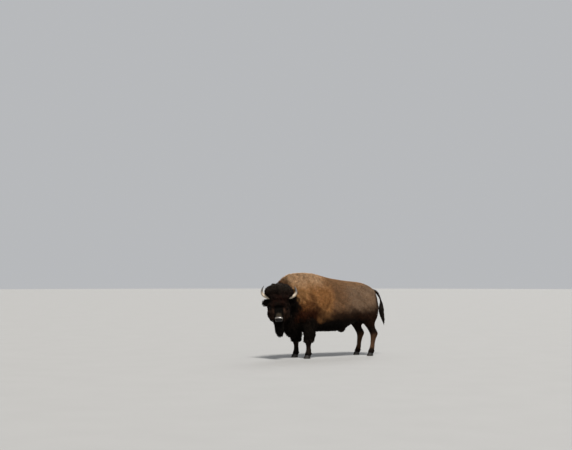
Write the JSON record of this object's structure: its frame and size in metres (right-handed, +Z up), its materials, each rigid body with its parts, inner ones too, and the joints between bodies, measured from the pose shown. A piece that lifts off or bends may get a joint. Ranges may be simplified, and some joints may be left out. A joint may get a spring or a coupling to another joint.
{
  "type": "american bison bull, still life-size model",
  "caption": "Life-size bison bull standing square with its head turned to its left: high hump, woolly cape, beard, short curved horns, cloven hooves and a hanging tail.",
  "frame": {"origin": "on the floor under the middle of the model's bounding box", "axes": "+Z up; the animal faces -Y, so +Y runs back along the spine to the tail; +X is to the animal's own left, the side its head is turned to"},
  "size_m": [0.9304, 3.0606, 1.7801],
  "materials": {
    "coat": "woolly brown coat, tan and curly over the hump and shoulders, short and grey-brown behind",
    "dark_coat": "long blackish-brown hair, curly between the horns and hanging as beard and chaps",
    "horn": "ridged horn, pale at the base and slate grey at the tip",
    "hoof": "worn blackish horn with faint growth rings",
    "eye": "wet dark brown"
  },
  "bodies": {
    "root": {"trunk_front": "coat", "trunk_rear": "coat", "neck": "coat", "head": "dark_coat", "beard": "dark_coat", "tail_upper": "dark_coat", "tail_lower": "dark_coat", "tail_tuft": "dark_coat", "ear_left": "dark_coat", "ear_right": "dark_coat", "foreleg_left_upper": "dark_coat", "foreleg_left_lower": "dark_coat", "foreleg_right_upper": "dark_coat", "foreleg_right_lower": "dark_coat", "hindleg_left_upper": "dark_coat", "hindleg_left_lower": "dark_coat", "hindleg_right_upper": "dark_coat", "hindleg_right_lower": "dark_coat", "horn_left": "horn", "horn_right": "horn", "foreleg_left_claw_outer": "hoof", "foreleg_left_claw_inner": "hoof", "foreleg_left_dewclaw_outer": "hoof", "foreleg_left_dewclaw_inner": "hoof", "foreleg_right_claw_outer": "hoof", "foreleg_right_claw_inner": "hoof", "foreleg_right_dewclaw_outer": "hoof", "foreleg_right_dewclaw_inner": "hoof", "hindleg_left_claw_outer": "hoof", "hindleg_left_claw_inner": "hoof", "hindleg_left_dewclaw_outer": "hoof", "hindleg_left_dewclaw_inner": "hoof", "hindleg_right_claw_outer": "hoof", "hindleg_right_claw_inner": "hoof", "hindleg_right_dewclaw_outer": "hoof", "hindleg_right_dewclaw_inner": "hoof", "eye_left": "eye", "eye_right": "eye"}
  },
  "joints": []
}
